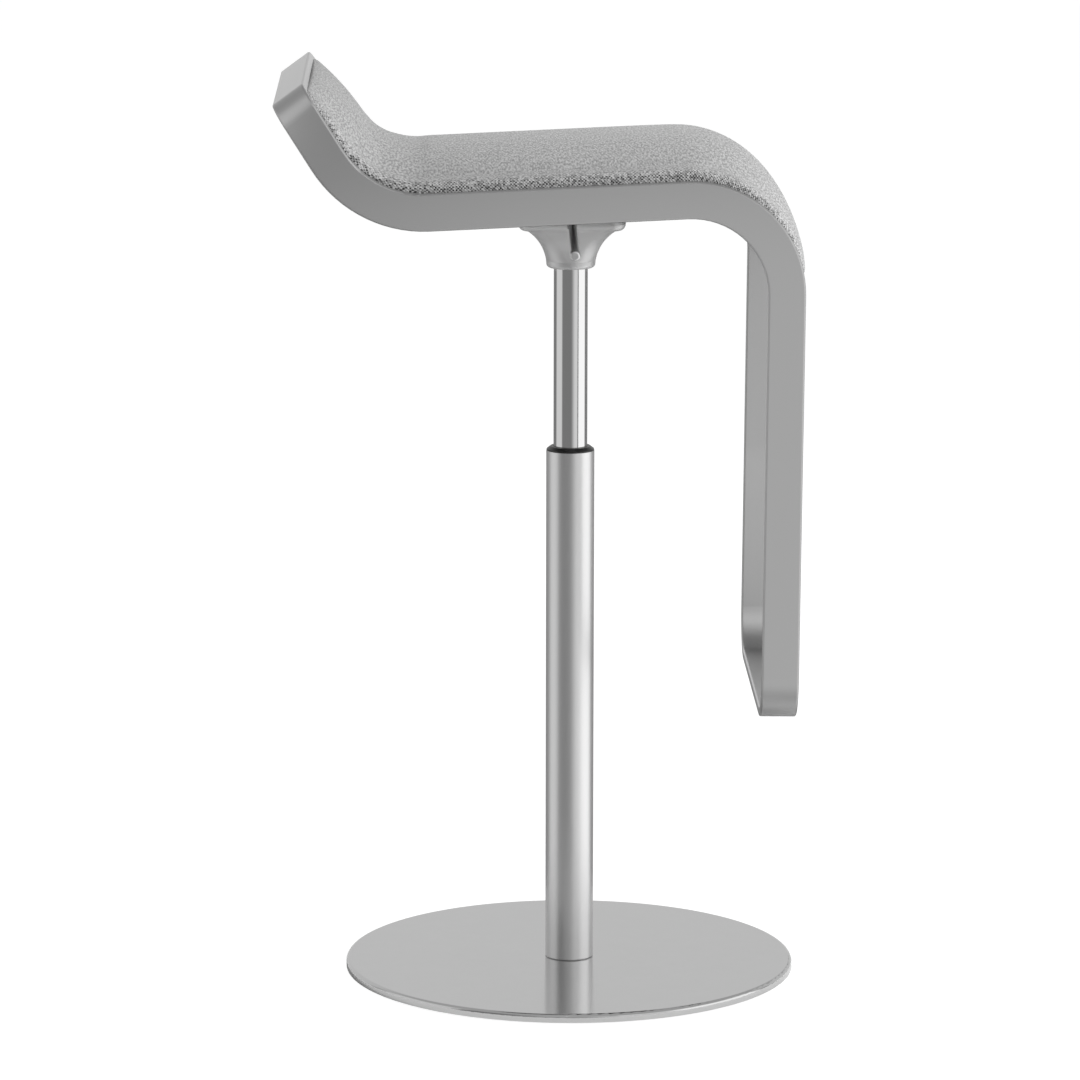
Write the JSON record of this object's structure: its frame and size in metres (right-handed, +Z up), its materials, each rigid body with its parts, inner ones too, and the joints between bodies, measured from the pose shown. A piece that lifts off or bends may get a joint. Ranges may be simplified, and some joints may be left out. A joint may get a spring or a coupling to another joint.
{
  "type": "bar stool",
  "caption": "Swivelling gas-lift bar stool: round steel base and column, bent flat-bar hoop that forms seat sides, low back and foot loop, with an upholstered pad inside.",
  "frame": {"origin": "centre of the base's underside on the floor, on the column's axis", "axes": "+Z up along the column, +X to the front where the foot loop hangs, -Y to the side of the height lever"},
  "size_m": [0.4282, 0.375, 0.7572],
  "materials": {
    "floor_pad_felt": "matt",
    "plain_steel": "plain turned steel",
    "brushed_base": "fine brushed, long grain",
    "zinc_fasteners": "zinc plated",
    "satin_column": "satin, fine turned grain",
    "black_bush": "moulded, slight sheen",
    "bearing_steel": "ground",
    "brass_cage": "stamped",
    "polished_chrome": "polished",
    "cast_aluminium": "as cast",
    "black_rubber": "matt",
    "cast_hub": "silver lacquer over die casting",
    "satin_hoop": "satin, matt nickel look",
    "black_paint": "black powder coat",
    "shell_board": "black stained bent board",
    "foam": "moulded foam",
    "grey_wool": "mottled wool weave"
  },
  "bodies": {
    "base": {"floor_pad": "floor_pad_felt", "base_plate": "plain_steel", "base_cover": "brushed_base", "base_screws": "zinc_fasteners", "column_tube": "satin_column", "foot_plug": "plain_steel", "guide_bush": "black_bush", "bearing_lower_race": "bearing_steel", "bearing_balls": "bearing_steel", "bearing_cage": "brass_cage"},
    "spindle": {"bearing_upper_race": "bearing_steel", "piston_rod": "polished_chrome", "piston": "cast_aluminium", "rod_washer": "zinc_fasteners", "rod_clip": "zinc_fasteners", "bump_stop": "black_rubber"},
    "seat": {"gas_cylinder": "polished_chrome", "rod_guide": "cast_aluminium", "valve_body": "plain_steel", "seat_hub": "cast_hub", "hub_bolts": "zinc_fasteners", "lever_pivot_pin": "plain_steel", "hoop_frame": "satin_hoop", "cross_plate": "black_paint", "shell_screws": "zinc_fasteners", "seat_shell": "shell_board", "seat_foam": "foam", "seat_cover": "grey_wool"},
    "lever": {"lever_tongue": "plain_steel", "lever_rod": "polished_chrome"},
    "valve": {"valve_pin": "zinc_fasteners"}
  },
  "joints": [
    {"name": "seat_swivel", "type": "hinge", "parent": "base", "child": "spindle", "pos_m": [0, 0, 0.044], "axis": [0, 0, 1], "continuous": true},
    {"name": "height_slide", "type": "slide", "parent": "spindle", "child": "seat", "axis": [0, 0, 1], "range_m": [-0.14, 0.1]},
    {"name": "lever_lift", "type": "hinge", "parent": "seat", "child": "lever", "pos_m": [0, -0.024, 0.638], "axis": [-1, 0, 0], "range_deg": [0, 8], "stiffness_Nm_per_rad": 6, "springref_deg": -2.86},
    {"name": "valve_press", "type": "slide", "parent": "seat", "child": "valve", "axis": [0, 0, -1], "range_m": [0, 0.004]}
  ],
  "couplings": [
    {"joint": "valve_press", "follows": "lever_lift", "m_per_rad": 0.0265}
  ]
}
